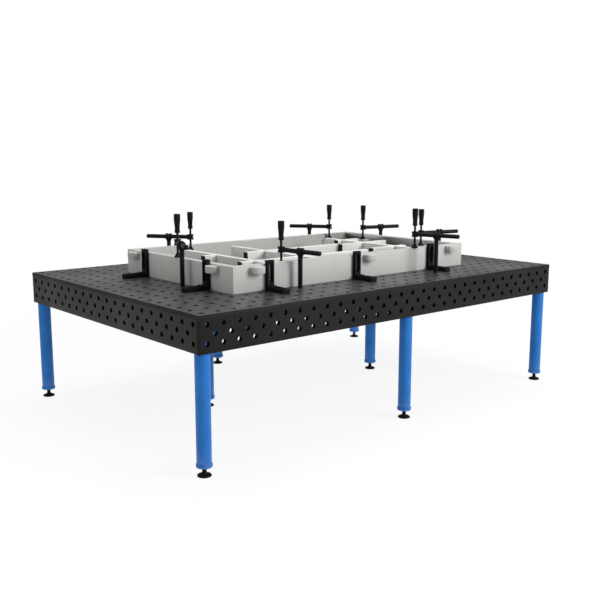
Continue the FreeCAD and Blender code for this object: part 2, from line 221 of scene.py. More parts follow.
def moulded(name, colour, roughness, grain):
    """Black moulded plastic or rubber with a fine spark-eroded texture and greasy patches."""
    s = Shader(name, shine=0.1)
    touch = s.noise(45.0, 4.0)
    s.drive("Base Color", s.mix(s.range(touch, 0.35, 0.7), colour, tuple(2.2 * c for c in colour)))
    s.drive("Roughness", s.range(touch, 0.3, 0.7, roughness + 0.12, roughness - 0.1))
    s.bump(s.noise(grain, 2.0), 0.0005, 0.35)
    return s.material


def weld_metal(name, bright, burnt):
    """Weld bead: bright ripples with straw and blue heat tint."""
    s = Shader(name, 0.75)
    tint = s.noise(70.0, 4.0)
    tone = s.mix(s.range(tint, 0.35, 0.6), bright, burnt)
    s.drive("Base Color", s.mix(s.range(s.noise(160.0), 0.58, 0.7, 0.0, 0.6), tone, (0.16, 0.11, 0.06)))
    s.drive("Roughness", s.range(tint, 0.3, 0.7, 0.3, 0.5))
    s.bump(s.noise(900.0), 0.0003, 0.4)
    return s.material


def painted_bead(name, light, shade):
    """Weld bead under the same primer as the parts beside it."""
    s = Shader(name)
    s.drive("Base Color", s.mix(s.range(s.noise(60.0, 4.0), 0.3, 0.7), light, shade))
    s.drive("Roughness", s.range(s.noise(200.0), 0.3, 0.7, 0.45, 0.6))
    s.bump(s.noise(700.0), 0.0003, 0.4)
    return s.material


ALONG_X = (3.0, 260.0, 260.0)
ALONG_Y = (260.0, 3.0, 260.0)
TOP_STEEL = milled_plate("top_steel", (0.027, 0.027, 0.027), (0.05, 0.05, 0.049), ALONG_X,
                         0.35, 0.36, 0.6)
# One side steel in two tones: the long sides and the top's rim darker as painted shade, the short sides
# lighter as a painted reflection.
SIDE_STEEL_PAINTED_SHADE = milled_plate("side_steel_painted_shade", (0.005, 0.005, 0.005), (0.010, 0.010, 0.010), ALONG_X,
                               0.05, 0.5, 0.12)
SIDE_STEEL_PAINTED_REFLECTION = milled_plate("side_steel_painted_reflection", (0.011, 0.011, 0.011), (0.02, 0.02, 0.02), ALONG_Y,
                                0.05, 0.5, 0.15)
# Hole bores: the plate's steel painted near black, as painted shade inside the holes.
BORE_PAINTED_SHADE = milled_plate("bore_painted_shade", (0.002, 0.002, 0.002), (0.005, 0.005, 0.005), ALONG_X,
                          0.0, 0.6, 0.06)
RIB_STEEL = milled_plate("rib_steel", (0.04, 0.04, 0.041), (0.075, 0.073, 0.071), ALONG_X, 0.4, 0.5)
LEG_BLUE = powder_coat("leg_blue", (0.016, 0.15, 0.48), (0.011, 0.12, 0.4))
COLLAR_BLUE = powder_coat("collar_blue", (0.012, 0.14, 0.47), (0.009, 0.105, 0.4), 0.45)
ZINC = dark_metal("zinc", (0.3, 0.3, 0.31), (0.55, 0.55, 0.56), 0.9, 0.35, 500.0, 0.5)
FOOT_BLACK = dark_metal("foot_black", (0.006, 0.006, 0.006), (0.03, 0.03, 0.03), 0.1, 0.55)
FOOT_RUBBER = moulded("foot_rubber", (0.007, 0.007, 0.007), 0.75, 900.0)
SCREW_BLACK = dark_metal("screw_black", (0.006, 0.006, 0.006), (0.035, 0.035, 0.035), 0.08, 0.5)
CLAMP_CAST = dark_metal("clamp_cast", (0.005, 0.005, 0.006), (0.03, 0.03, 0.032), 0.15, 0.55, 420.0)
CLAMP_BAR = dark_metal("clamp_bar", (0.005, 0.005, 0.006), (0.035, 0.035, 0.037), 0.2, 0.45, 900.0)
GRIP_BLACK = moulded("grip_black", (0.004, 0.004, 0.005), 0.55, 1100.0)
STOP_BLACK = dark_metal("stop_black", (0.005, 0.005, 0.006), (0.02, 0.02, 0.021), 0.0, 0.58, 600.0, 0.07)
FRAME_PAINT = primer_paint("frame_paint", (0.46, 0.458, 0.445), (0.41, 0.408, 0.397), 0.55)
BAR_PAINT = primer_paint("bar_paint", (0.68, 0.678, 0.665), (0.61, 0.608, 0.597), 0.55)
LUG_PAINT = primer_paint("lug_paint", (0.47, 0.468, 0.455), (0.42, 0.418, 0.407), 0.52)
CAP_BLACK = moulded("cap_black", (0.006, 0.006, 0.006), 0.5, 700.0)
RAW_WELD = weld_metal("raw_weld", (0.3, 0.29, 0.28), (0.09, 0.1, 0.14))
PAINTED_WELD = painted_bead("painted_weld", (0.5, 0.498, 0.485), (0.42, 0.418, 0.407))


# ---------------------------------------------------------------- meshes

class Builder:
    """Collects points, in millimetres in the row frame, and faces with a material number each."""

    def __init__(self):
        self.points, self.faces, self.kinds = [], [], []

    def add(self, points, faces, kind=0, place=None):
        first = len(self.points)
        self.points += [place @ Vector(p) for p in points] if place else [Vector(p) for p in points]
        self.faces += [tuple(first + i for i in face) for face in faces]
        self.kinds += [kind] * len(faces)

    def mesh(self, name, smooth_degrees=35.0, merge=0.004):
        """One mesh in metres with doubled points merged and edges sharper than the angle kept crisp."""
        mesh = bpy.data.meshes.new(name)
        mesh.from_pydata([p * MM for p in self.points], [], self.faces)
        mesh.polygons.foreach_set("material_index", self.kinds)
        work = bmesh.new()
        work.from_mesh(mesh)
        bmesh.ops.remove_doubles(work, verts=work.verts, dist=merge * MM)
        bmesh.ops.dissolve_degenerate(work, edges=work.edges, dist=merge * MM)
        work.to_mesh(mesh)
        work.free()
        mesh.shade_smooth()
        mesh.set_sharp_from_angle(angle=math.radians(smooth_degrees))
        return mesh


def show(name, mesh, body, nodes, slot, *materials):
    """Put a finished mesh in the scene on a CAD body, in place of CAD nodes."""
    piece = bpy.data.objects.new(name, mesh)
    bpy.context.scene.collection.objects.link(piece)
    if not mesh.materials:
        for material in materials:
            mesh.materials.append(material)
    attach(piece, body)
    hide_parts(*nodes)
    return piece


def assemble(name, shells, place, body, nodes, slot, *materials, kinds=(), smooth_degrees=35.0):
    """Show one piece made of several (points, faces), moved by place. kinds are their material numbers."""
    builder = Builder()
    for shell, kind in zip(shells, kinds or [0] * len(shells)):
        builder.add(*shell, kind=kind, place=place)
    return show(name, builder.mesh(name, smooth_degrees), body, nodes, slot, *materials)


def node_box(node):
    """(low, high) of a CAD node in millimetres."""
    low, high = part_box(node)
    return low / MM, high / MM


def islands(work):
    """The separate shells of a bmesh, as lists of vertices."""
    left, found = set(work.verts), []
    while left:
        stack, shell = [left.pop()], []
        while stack:
            vert = stack.pop()
            shell.append(vert)
            for edge in vert.link_edges:
                other = edge.other_vert(vert)
                if other in left:
                    left.remove(other)
                    stack.append(other)
        found.append(shell)
    return found


def extent(shell):
    return [(min(v.co[i] for v in shell), max(v.co[i] for v in shell)) for i in range(3)]


def outer_shells(node):
    """A bmesh of a CAD node, in metres, without the skins closed up inside its hollow solids."""
    work = bmesh.new()
    work.from_mesh(frame["nodes"][node].data)
    bmesh.ops.remove_doubles(work, verts=work.verts, dist=2e-6)
    shells = [(shell, extent(shell)) for shell in islands(work)]
    for shell, size in shells:
        if any(all(big[i][0] < size[i][0] - 1e-5 and big[i][1] > size[i][1] + 1e-5 for i in range(3))
               for _, big in shells):
            bmesh.ops.delete(work, geom=shell, context="VERTS")
    bmesh.ops.dissolve_limit(work, angle_limit=math.radians(0.5), verts=work.verts, edges=work.edges)
    return work


def solid_boxes(node):
    """((x0, x1), (y0, y1), (z0, z1)) in millimetres of each solid of a CAD node."""
    work = outer_shells(node)
    boxes = [[(low / MM, high / MM) for low, high in extent(shell)] for shell in islands(work)]
    work.free()
    return boxes


def softened(name, node, body, slot, material, radius, steps=3):
    """A CAD node's own shape with its edges rounded, as sawn, milled or rolled parts have them."""
    work = outer_shells(node)
    sharp = [e for e in work.edges if len(e.link_faces) == 2 and e.calc_face_angle() > math.radians(35)]
    bmesh.ops.bevel(work, geom=sharp, offset=radius * MM, segments=steps, profile=0.5,
                    affect="EDGES", clamp_overlap=True)
    mesh = bpy.data.meshes.new(name)
    work.to_mesh(mesh)
    work.free()
    mesh.shade_smooth()
    mesh.set_sharp_from_angle(angle=math.radians(40))
    return show(name, mesh, body, [node], slot, material)


def turned(outline, steps=ROUND_STEPS):
    """Points and faces of an outline of (radius, height) turned about Z. Radius 0 closes an end."""
    points, faces, rings = [], [], []
    for radius, height in outline:
        if radius < 1e-6:
            rings.append([len(points)])
            points.append((0, 0, height))
            continue
        rings.append(list(range(len(points), len(points) + steps)))
        for i in range(steps):
            a = math.tau * i / steps
            points.append((radius * math.cos(a), radius * math.sin(a), height))
    for low, high in zip(rings, rings[1:]):
        for i in range(steps):
            j = (i + 1) % steps
            quad = [low[i % len(low)], low[j % len(low)], high[j % len(high)], high[i % len(high)]]
            face = list(dict.fromkeys(quad))
            if len(face) > 2:
                faces.append(face)
    return points, faces


def rounded(outline, radius=1.0, steps=3):
    """The outline with each inner corner replaced by a short arc-like curve."""
    result = [outline[0]]
    for before, corner, after in zip(outline, outline[1:], outline[2:]):
        b, c, a = Vector(before), Vector(corner), Vector(after)
        reach = min(radius, (b - c).length * 0.45, (a - c).length * 0.45)
        if reach < 1e-4:
            result.append(corner)
            continue
        start, end = c + (b - c).normalized() * reach, c + (a - c).normalized() * reach
        for k in range(steps + 1):
            t = k / steps
            result.append(tuple(start * (1 - t) ** 2 + c * 2 * t * (1 - t) + end * t * t))
    result.append(outline[-1])
    return result


def ball_outline(radius, centre, end_degrees):
    """Outline of a ball from its lowest point up to an angle, to go on with a neck."""
    turns = [math.radians(a) for a in range(0, end_degrees, 9)]
    return [(radius * math.sin(t), centre - radius * math.cos(t)) for t in turns]


def thread(radius, depth, pitch, low, high, steps=28, rows=8):
    """Right-hand thread between two heights, as a turned surface whose radius follows the helix."""
    points, faces = [], []
    count = max(2, int(round((high - low) / pitch * rows)))
    for row in range(count + 1):
        z = low + (high - low) * row / count
        for i in range(steps):
            a = math.tau * i / steps
            phase = (z / pitch - i / steps) % 1.0
            fade = min(1.0, row / 4, (count - row) / 4)
            r = radius - depth * fade * (1 - abs(2 * phase - 1)) ** 0.8
            points.append((r * math.cos(a), r * math.sin(a), z))
    for row in range(count):
        for i in range(steps):
            j = (i + 1) % steps
            faces.append((row * steps + i, row * steps + j, (row + 1) * steps + j, (row + 1) * steps + i))
    return points, faces


def bead(start, end, radius, ripple=5.0, steps=8):
    """A straight weld bead: a closed tube whose section swells at each ripple."""
    a, b = Vector(start), Vector(end)
    along = (b - a).normalized()
    side = along.orthogonal().normalized()
    other = along.cross(side)
    rows = max(6, int((b - a).length / ripple * 4))
    points, faces = [a], []
    for row in range(rows + 1):
        t = row / rows
        swell = 0.82 + 0.18 * abs(math.sin(math.pi * t * (b - a).length / ripple))
        taper = min(1.0, 0.45 + row * 0.3, 0.45 + (rows - row) * 0.3)
        for i in range(steps):
            angle = math.tau * i / steps
            offset = side * math.cos(angle) + other * math.sin(angle)
            points.append(a.lerp(b, t) + offset * radius * swell * taper)
    points.append(b)
    for row in range(rows):
        for i in range(steps):
            j = (i + 1) % steps
            faces.append((1 + row * steps + i, 1 + row * steps + j,
                          1 + (row + 1) * steps + j, 1 + (row + 1) * steps + i))
    last = 1 + rows * steps
    for i in range(steps):
        j = (i + 1) % steps
        faces.append((0, 1 + j, 1 + i))
        faces.append((len(points) - 1, last + i, last + j))
    return points, faces


# ---------------------------------------------------------------- perforated plates

def between(low, high):
    """Seam points strictly inside a stretch."""
    return [MESH_STEP * k for k in range(int(low // MESH_STEP), int(high // MESH_STEP) + 2)
            if low + 0.01 < MESH_STEP * k < high - 0.01]


def ring(centre, radius, depth):
    return [(centre[0] + radius * math.cos(math.tau * i / HOLE_STEPS),
             centre[1] + radius * math.sin(math.tau * i / HOLE_STEPS), depth) for i in range(HOLE_STEPS)]


def holed_cell(builder, u0, u1, v0, v1, centre, depth, kind, outward):
    """Flat cell round one hole, as a left and a right half that meet on the hole's centre line."""
    p = centre[0]
    quarter = HOLE_STEPS // 4
    circle = ring(centre, HOLE_R + HOLE_CHAMFER, depth)
    left_bottom = [(u, v0, depth) for u in [u0] + between(u0, p) + [p]]
    left_top = [(u, v1, depth) for u in [p] + between(u0, p)[::-1] + [u0]]
    left_arc = [circle[i] for i in range(3 * quarter, quarter - 1, -1)]
    right_bottom = [(u, v0, depth) for u in [p] + between(p, u1) + [u1]]
    right_top = [(u, v1, depth) for u in [u1] + between(p, u1)[::-1] + [p]]
    right_arc = [circle[i % HOLE_STEPS] for i in range(quarter, -quarter - 1, -1)]
    for outline in (left_bottom + left_arc + left_top, right_bottom + right_top + right_arc):
        order = range(len(outline)) if outward else range(len(outline) - 1, -1, -1)
        builder.add(outline, [tuple(order)], kind)


def hole_wall(builder, centre, thickness, kind):
    """Chamfered mouth, bore and back chamfer of one hole."""
    mouth = HOLE_R + HOLE_CHAMFER
    rings = [ring(centre, mouth, 0), ring(centre, HOLE_R, -HOLE_CHAMFER),
             ring(centre, HOLE_R, HOLE_CHAMFER - thickness), ring(centre, mouth, -thickness)]
    points = [p for r in rings for p in r]
    faces = []
    for k in range(3):
        for i in range(HOLE_STEPS):
            j = (i + 1) % HOLE_STEPS
            faces.append((k * HOLE_STEPS + i, k * HOLE_STEPS + j,
                          (k + 1) * HOLE_STEPS + j, (k + 1) * HOLE_STEPS + i))
    builder.add(points, faces, kind)


def plate_border(length, width, seams, insets, depth):
    """Closed loop round a plate at a depth, drawn in by an inset on its u0, u1, v0 and v1 edges.
    seams are the v positions where its rows meet."""
    u0, u1, v0, v1 = insets[0], length - insets[1], insets[2], width - insets[3]
    us, vs = between(0, length), seams
    return ([(u, v0, depth) for u in [u0] + us] + [(u1, v, depth) for v in [v0] + vs]
            + [(u, v1, depth) for u in [u1] + us[::-1]] + [(u0, v, depth) for v in [v1] + vs[::-1]])


def perforated_plate(length, width, thickness, rows, rounding, border_kind=0):
    """Plate in its own (u, v, out) axes with its outer face at 0. Each row is (v low, v high, hole v,
    first hole u) or has no hole when the last two are None. rounding holds the edge radii. Faces are
    kind 0, bores kind 1 and the rim takes border_kind."""
    builder = Builder()
    for depth, outward, soft in ((0, True, rounding), (-thickness, False, (0, 0, 0, 0))):
        for low, high, hole_v, first in rows:
            v0 = soft[2] if low == 0 else low
            v1 = width - soft[3] if high == width else high
            if hole_v is None:
                seam = [soft[0]] + between(0, length) + [length - soft[1]]
                outline = [(u, v0, depth) for u in seam] + [(u, v1, depth) for u in seam[::-1]]
                order = range(len(outline)) if outward else range(len(outline) - 1, -1, -1)
                builder.add(outline, [tuple(order)])
                continue
            count = round((length - 2 * first) / GRID) + 1
            for i in range(count):
                u = first + GRID * i
                u0 = soft[0] if i == 0 else u - HALF_GRID
                u1 = length - soft[1] if i == count - 1 else u + HALF_GRID
                holed_cell(builder, u0, u1, v0, v1, (u, hole_v), depth, 0, outward)
                if outward:
                    hole_wall(builder, (u, hole_v), thickness, 1)
    turns = [math.radians(a) for a in (90, 60, 30, 0)]
    seams = [row[1] for row in rows[:-1]]
    loops = [plate_border(length, width, seams, [r * (1 - math.cos(t)) for r in rounding],
                          max(rounding) * (math.sin(t) - 1)) for t in turns]
    loops.append(plate_border(length, width, seams, (0, 0, 0, 0), -thickness))
    size = len(loops[0])
    points = [p for loop in loops for p in loop]
    faces = []
    for k in range(len(loops) - 1):
        for i in range(size):
            j = (i + 1) % size
            faces.append((k * size + i, (k + 1) * size + i, (k + 1) * size + j, k * size + j))
    builder.add(points, faces, border_kind)
    return builder


def standing(builder, origin, u_axis, v_axis):
    """Move a plate from its own axes to the row frame."""
    out = Vector(u_axis).cross(Vector(v_axis))
    turn = Matrix((u_axis, v_axis, out)).transposed()
    builder.points = [turn @ p + Vector(origin) for p in builder.points]
    return builder


def tabletop():
    low, high = node_box("tabletop")
    length, width, thickness = high - low
    rows = [(GRID * j, GRID * (j + 1), GRID * j + HALF_GRID, HALF_GRID) for j in range(round(width / GRID))]
    plate = perforated_plate(length, width, thickness, rows, [EDGE_R] * 4, 2)
    mesh = standing(plate, (low.x, low.y, high.z), (1, 0, 0), (0, 1, 0)).mesh("tabletop_plate")
    show("tabletop_plate", mesh, "table", ["tabletop"], "plate_steel", TOP_STEEL, BORE_PAINTED_SHADE,
         SIDE_STEEL_PAINTED_SHADE)


def side_rows(height):
    """Strips of a side plate from its bottom edge up: plain foot, low row, staggered row, high row."""
    plain = height - 3 * HALF_GRID
    rows = [(0, plain, None, None)]
    for k in range(3):
        low = plain + HALF_GRID * k
        rows.append((low, low + HALF_GRID, low + HALF_GRID / 2, GRID if k == 1 else HALF_GRID))
    return rows


def sides():
    low, high = node_box("sides_long")
    height = high.z - low.z
    inner = node_box("sides_short")
    thickness = inner[0].y - low.y
    length, depth = high.x - low.x, inner[1].y - inner[0].y
    rows = side_rows(height)
    for name, origin, u_axis in (("front", (low.x, low.y, low.z), (1, 0, 0)),
                                 ("back", (high.x, high.y, low.z), (-1, 0, 0))):
        plate = perforated_plate(length, height, thickness, rows, (EDGE_R, EDGE_R, EDGE_R, 0))
        mesh = standing(plate, origin, u_axis, (0, 0, 1)).mesh("side_" + name)
        show("side_" + name, mesh, "table", ["sides_long"], "side_steel", SIDE_STEEL_PAINTED_SHADE, BORE_PAINTED_SHADE)
    short_rows = [(a, b, v, None if f is None else f - thickness) for a, b, v, f in rows]
    for name, origin, u_axis in (("left", (low.x, inner[1].y, low.z), (0, -1, 0)),
                                 ("right", (high.x, inner[0].y, low.z), (0, 1, 0))):
        plate = perforated_plate(depth, height, thickness, short_rows, (0, 0, EDGE_R, 0))
        mesh = standing(plate, origin, u_axis, (0, 0, 1)).mesh("side_" + name)
        show("side_" + name, mesh, "table", ["sides_short"], "side_steel", SIDE_STEEL_PAINTED_REFLECTION, BORE_PAINTED_SHADE)


# ---------------------------------------------------------------- box underside and legs

def ribs():
    for name in ("ribs_cross", "ribs_long", "leg_plates"):
        softened(name + "_plates", name, "table", "rib_steel", RIB_STEEL, 1.0, 2)
    softened("leg_stud_nuts", "leg_studs", "table", "stud_zinc", ZINC, 0.8, 2)


def rib_welds():
    """Stitch welds between the ribs and the top."""
    stitch, step, first, size = 55.0, 250.0, 40.0, 4.0
    top_z = node_box("tabletop")[0].z
    builder = Builder()
    for node, axis in (("ribs_cross", 1), ("ribs_long", 0)):
        for solid in solid_boxes(node):
            low, high = solid[axis]
            across = solid[1 - axis]
            at = low + first
            while at + stitch < high - first / 2:
                for edge in across:
                    ends = [(at, edge), (at + stitch, edge)]
                    if axis == 1:
                        ends = [(b, a) for a, b in ends]
                    builder.add(*bead((*ends[0], top_z), (*ends[1], top_z), size))
                at += step
    mesh = builder.mesh("rib_weld_beads", 60)
    show("rib_weld_beads", mesh, "table", [], "rib_steel", RAW_WELD)


def leg_axes():
    """(number, x, y) of each leg, in millimetres, from its foot's screw."""
    return [(n, *(c / MM for c in JOINTS["foot%d_screw_turn" % n]["pos_m"][:2])) for n in FEET]


def legs():
    tube_low, tube_high = node_box("leg_tubes")
    collar_low, collar_high = node_box("leg_collars")
    outside, wall = 40.0, 4.0
    flare, bore = outside + 3.5, 12.2
    tube = turned(rounded([(outside - wall, tube_low.z), (outside, tube_low.z), (outside, tube_high.z),
                           (outside - wall, tube_high.z), (outside - wall, tube_low.z)], 0.8))
    ring_bottom, ring_top = collar_low.z, tube_low.z
    collar = turned(rounded([(bore, collar_high.z), (bore, ring_bottom), (flare, ring_bottom),
                             (flare, ring_top), (outside + 0.3, ring_top), (outside - 1, ring_top + 1.5),
                             (bore, ring_top + 1.5)], 3.6, 5))
    seam = bead_ring(outside + 0.2, ring_top + 0.4, 1.6)
    for number, x, y in leg_axes():
        place = Matrix.Translation((x, y, 0))
        assemble("leg_tube_%d" % number, [tube], place, "table", ["leg_tubes"], "leg_paint", LEG_BLUE)
        assemble("leg_collar_%d" % number, [collar], place, "table", ["leg_collars"], "collar_paint",
                 COLLAR_BLUE)
        assemble("leg_seam_%d" % number, [seam], place, "table", [], "collar_paint", COLLAR_BLUE,
                 smooth_degrees=60)


def bead_ring(radius, height, size, ripples=60, steps=8):
    """A weld bead round a tube, with its ripples."""
    rows = ripples * 3
    points, faces = [], []
    for row in range(rows):
        turn = math.tau * row / rows
        swell = size * (0.85 + 0.15 * abs(math.sin(ripples * turn / 2)))
        for i in range(steps):
            a = math.tau * i / steps
            r = radius + swell * math.cos(a)
            points.append((r * math.cos(turn), r * math.sin(turn), height + swell * math.sin(a)))
    for row in range(rows):
        after = (row + 1) % rows
        for i in range(steps):
            j = (i + 1) % steps
            faces.append((row * steps + i, after * steps + i, after * steps + j, row * steps + j))
    return points, faces


def feet():
    """Swivel discs on a rubber ring, and the threaded levelling screws."""
    disc_top = node_box("foot1_disc")[1].z
    screw_top = node_box("foot1_screw")[1].z
    hub, rim, screw = 15.0, 38.0, 12.0
    ball_r, ball_z = 9.0, 12.5
    thread_low, thread_high = disc_top + 4.2, 70.0
    disc = turned(rounded([(8.6, disc_top - 3), (8.9, disc_top - 0.5), (hub - 1, disc_top),
                           (hub, disc_top - 3), (hub + 2, 15), (26, 12), (rim - 3, 9), (rim - 0.2, 6),
                           (rim - 0.2, 3.2), (rim - 3, 3.2)], 2.0, 3))
    rubber = turned(rounded([(0, 0), (rim - 1.5, 0), (rim, 1.2), (rim, 3), (rim - 3, 3.3),
                             (0, 3.3)], 0.8, 3))
    socket = turned([(0, 3.3), (5, 4.4), (8.2, 7.5), (9.05, 12.5), (8.8, 15.5), (8.4, disc_top - 3)], 32)
    neck = [(7.4, disc_top), (7.4, disc_top + 1.6), (9.5, disc_top + 2.2), (11.2, disc_top + 3.8),
            (11.2, thread_low)]
    tip = turned(ball_outline(ball_r, ball_z, 126) + neck, 40)
    rod = thread(screw, 1.4, 3.0, thread_low, thread_high, 40)
    end = turned([(screw, thread_high), (screw, screw_top - 1), (screw - 1, screw_top), (0, screw_top)], 40)
    for number, x, y in leg_axes():
        place = Matrix.Translation((x, y, 0))
        foot = "foot%d_" % number
        assemble(foot + "plate", [disc, rubber, socket], place, foot + "disc_body", [foot + "disc"],
                 "foot_black", FOOT_BLACK, FOOT_RUBBER, kinds=(0, 1, 0))
        assemble(foot + "thread", [tip, rod, end], place, foot + "screw_body", [foot + "screw"],
                 "screw_steel", SCREW_BLACK, smooth_degrees=50)


# ---------------------------------------------------------------- screw clamps

# Heights are above the arm's axis.
BAR_R = 14.0
COLUMN_R = 13.95
COLUMN_LOW, COLUMN_HIGH = -304.0, -31.0
HEAD_BORE_R = 14.3
HEAD_HALF = 18.0         # half length of the sleeve
RIM_R = 23.0             # rims of the sleeve and the boss
BOSS_HALF = 18.0
REACH = 160.0            # column to spindle
SPINDLE_R = 8.0
SPINDLE_PITCH = 4.0
PAD_LOW = -92.8
PAD_R = 22.0
PAD_BALL_R = 6.0
PAD_BALL_Z = PAD_LOW + 17.0
GRIP_LOW, GRIP_HIGH = 56.0, 172.0


def clamp_place(letter):
    """Matrix from clamp axes (arm along +X, arm axis at height 0) to the row frame, in millimetres."""
    swivel, slide = JOINTS["clamp_%s_swivel" % letter], JOINTS["clamp_%s_arm_slide" % letter]
    low, high = node_box("clamp_%s_arm" % letter)
    x, y = (c / MM for c in swivel["pos_m"][:2])
    turn = math.atan2(slide["axis"][1], slide["axis"][0])
    return Matrix.Translation((x, y, (low.z + high.z) / 2)) @ Matrix.Rotation(turn, 4, "Z")


def lying(points):
    """Turned points laid along X instead of Z."""
    return [(z, y, -x) for x, y, z in points]


def cast_head():
    """Sleeve, end collars and tapering neck run together with cast fillets: points and faces in mm."""
    half = HEAD_HALF
    sleeve = [(HEAD_BORE_R, -half), (RIM_R - 0.6, -half), (RIM_R, 1 - half), (RIM_R, -10), (19.5, -7.5),
              (19.5, 7.5), (RIM_R, 10), (RIM_R, half - 1), (RIM_R - 0.6, half), (HEAD_BORE_R, half),
              (HEAD_BORE_R, -half)]
    neck = [(0, -36), (14.4, -36), (15, -31), (17, -22), (18.2, -15), (16, -8), (0, -8)]
    bore = [(0, -half - 6), (HEAD_BORE_R, -half - 6), (HEAD_BORE_R, half + 6), (0, half + 6)]
    shells = []
    for label, outline, lay in (("sleeve", sleeve, True), ("neck", neck, False), ("bore", bore, True)):
        points, faces = turned(outline, 48)
        builder = Builder()
        builder.add(lying(points) if lay else points, faces)
        piece = bpy.data.objects.new(label, builder.mesh(label))
        bpy.context.scene.collection.objects.link(piece)
        shells.append(piece)
    head, tapered, hollow = shells
    for other, action in ((tapered, "UNION"), (hollow, "DIFFERENCE")):
        cut = head.modifiers.new(action.lower(), "BOOLEAN")
        cut.object, cut.operation, cut.solver = other, action, "EXACT"
    voxels = head.modifiers.new("voxels", "REMESH")
    voxels.mode, voxels.voxel_size = "VOXEL", 0.9 * MM
    smooth = head.modifiers.new("smooth", "SMOOTH")
    smooth.factor, smooth.iterations = 0.5, 7
    thin = head.modifiers.new("thin", "DECIMATE")
    thin.ratio = 0.35
    bpy.context.view_layer.update()
    shape = bpy.data.meshes.new_from_object(head.evaluated_get(bpy.context.evaluated_depsgraph_get()))
    points = [tuple(v.co / MM) for v in shape.vertices]
    faces = [tuple(p.vertices) for p in shape.polygons]
    for piece in shells:
        bpy.data.objects.remove(piece)
    return points, faces


def boss_outline():
    """Nut at the arm's end: a waisted ring with a rim at each end."""
    half, bore = BOSS_HALF, SPINDLE_R + 0.3
    profile = [(bore, -half), (RIM_R, -half), (RIM_R, 6 - half), (19, 9 - half), (19, half - 9),
               (RIM_R, half - 6), (RIM_R, half), (bore, half), (bore, -half)]
    return rounded(profile, 1.4, 4)


def grip_outline():
    """Moulded grip: rounded lower lip, slim waist, shoulder that widens to a flat-ended knob."""
    low, high = GRIP_LOW, GRIP_HIGH
    profile = [(7.9, low), (13, low), (16.4, low + 3), (17, low + 9), (15.4, low + 20), (15.2, low + 34),
               (17.6, low + 58), (19.6, low + 76), (19.9, high - 12), (19.9, high - 1.6),
               (18.3, high), (0, high)]
    return rounded(profile, 7.0, 6)


def pad_shells():
    """Swivel pad: the turned shoe, and the well in it that holds the spindle's ball."""
    low = PAD_LOW
    shoe = rounded([(5.9, low + 27.2), (9.5, low + 28), (10.5, low + 26.5), (11.6, low + 20),
                    (14, low + 15.5), (18, low + 11), (PAD_R - 0.6, low + 6.8), (PAD_R, low + 5.6),
                    (PAD_R, low + 0.8), (PAD_R - 0.6, low), (0, low)], 1.2, 3)
    well = [(5.9, low + 27.2), (6.1, low + 17), (5.75, low + 14.5), (5, low + 12.9),
            (3.2, low + 11.2), (0, low + 10.5)]
    return [turned(shoe, 48), turned(well, 32)]


def spindle_shells():
    """Ball and neck, threaded rod, and the plain end inside the grip."""
    rod_low = PAD_LOW + 31
    neck = [(4.6, rod_low - 2), (SPINDLE_R - 0.9, rod_low - 0.5), (SPINDLE_R - 0.9, rod_low)]
    end_r = SPINDLE_R - 0.2
    return [turned(ball_outline(PAD_BALL_R, PAD_BALL_Z, 136) + neck, 32),
            thread(SPINDLE_R, 1.1, SPINDLE_PITCH, rod_low, GRIP_LOW + 1, 24),
            turned([(end_r, GRIP_LOW + 1), (end_r, GRIP_LOW + 4), (0, GRIP_LOW + 4)], 24)]


def clamps():
    head = cast_head()
    column = turned(rounded([(0, COLUMN_LOW), (11.6, COLUMN_LOW), (COLUMN_R, COLUMN_LOW + 2.4),
                             (COLUMN_R, COLUMN_HIGH - 2), (13.4, COLUMN_HIGH), (0, COLUMN_HIGH)], 0.8))
    tail, nose = -REACH, REACH - 12
    bar = turned(rounded([(0, tail), (BAR_R - 1.6, tail), (BAR_R, tail + 1.6), (BAR_R, nose),
                          (0, nose)], 0.6))
    arm = (lying(bar[0]), bar[1])
    boss = turned(boss_outline(), 48)
    pad, spindle, grip = pad_shells(), spindle_shells(), turned(grip_outline())
    for letter in CLAMPS:
        clamp = "clamp_%s_" % letter
        base = clamp_place(letter)
        far = base @ Matrix.Translation((REACH, 0, 0))
        for piece, shells, place, node, slot, material, smooth_degrees in (
                ("head", [head], base, "column", "clamp_black", CLAMP_CAST, 75),
                ("post", [column], base, "column", "clamp_black", CLAMP_BAR, 35),
                ("bar", [arm], base, "arm", "clamp_bar", CLAMP_BAR, 35),
                ("boss", [boss], far, "arm", "clamp_bar", CLAMP_CAST, 35),
                ("screw", spindle, far, "spindle", "spindle_black", SCREW_BLACK, 50),
                ("grip", [grip], far, "spindle", "spindle_black", GRIP_BLACK, 50),
                ("shoe", pad, far, "pad", "pad_steel", CLAMP_CAST, 35)):
            assemble(clamp + piece, shells, place, clamp + node + "_body", [clamp + node], slot, material,
                     smooth_degrees=smooth_degrees)


# ---------------------------------------------------------------- stops and workpiece

def stops():
    """Cast angle stops, and the bolt with its locking ring that holds each one."""
    softened("angle_stop_castings", "angle_stops", "table", "stop_black", STOP_BLACK, 1.6, 3)
    base_top, shank_low, shank_r = 27.0, -37.0, 13.9
    deck = node_box("tabletop")[1].z
    tip = shank_low - base_top
    head = rounded([(0, 2), (5, 2), (5, 4.4), (5.8, 5), (17.2, 5), (19, 3.6), (19, 0.6), (18.4, 0),
                    (shank_r, 0), (shank_r, tip + 3), (12, tip), (0, tip)], 0.8, 3)
    ring_low, ring_high = -34.0, -25.0
    collar = rounded([(shank_r, ring_low), (16.2, ring_low), (17, ring_low + 1), (17, ring_high - 1),
                      (16.2, ring_high), (shank_r, ring_high)], 0.6, 2)
    shells = [turned([(r, z + base_top) for r, z in head], 48), turned(collar, 48)]
    for number, solid in enumerate(solid_boxes("stop_bolts"), start=1):
        place = Matrix.Translation((sum(solid[0]) / 2, sum(solid[1]) / 2, deck))
        assemble("stop_bolt_%d" % number, shells, place, "table", ["stop_bolts"], "bolt_black", SCREW_BLACK)


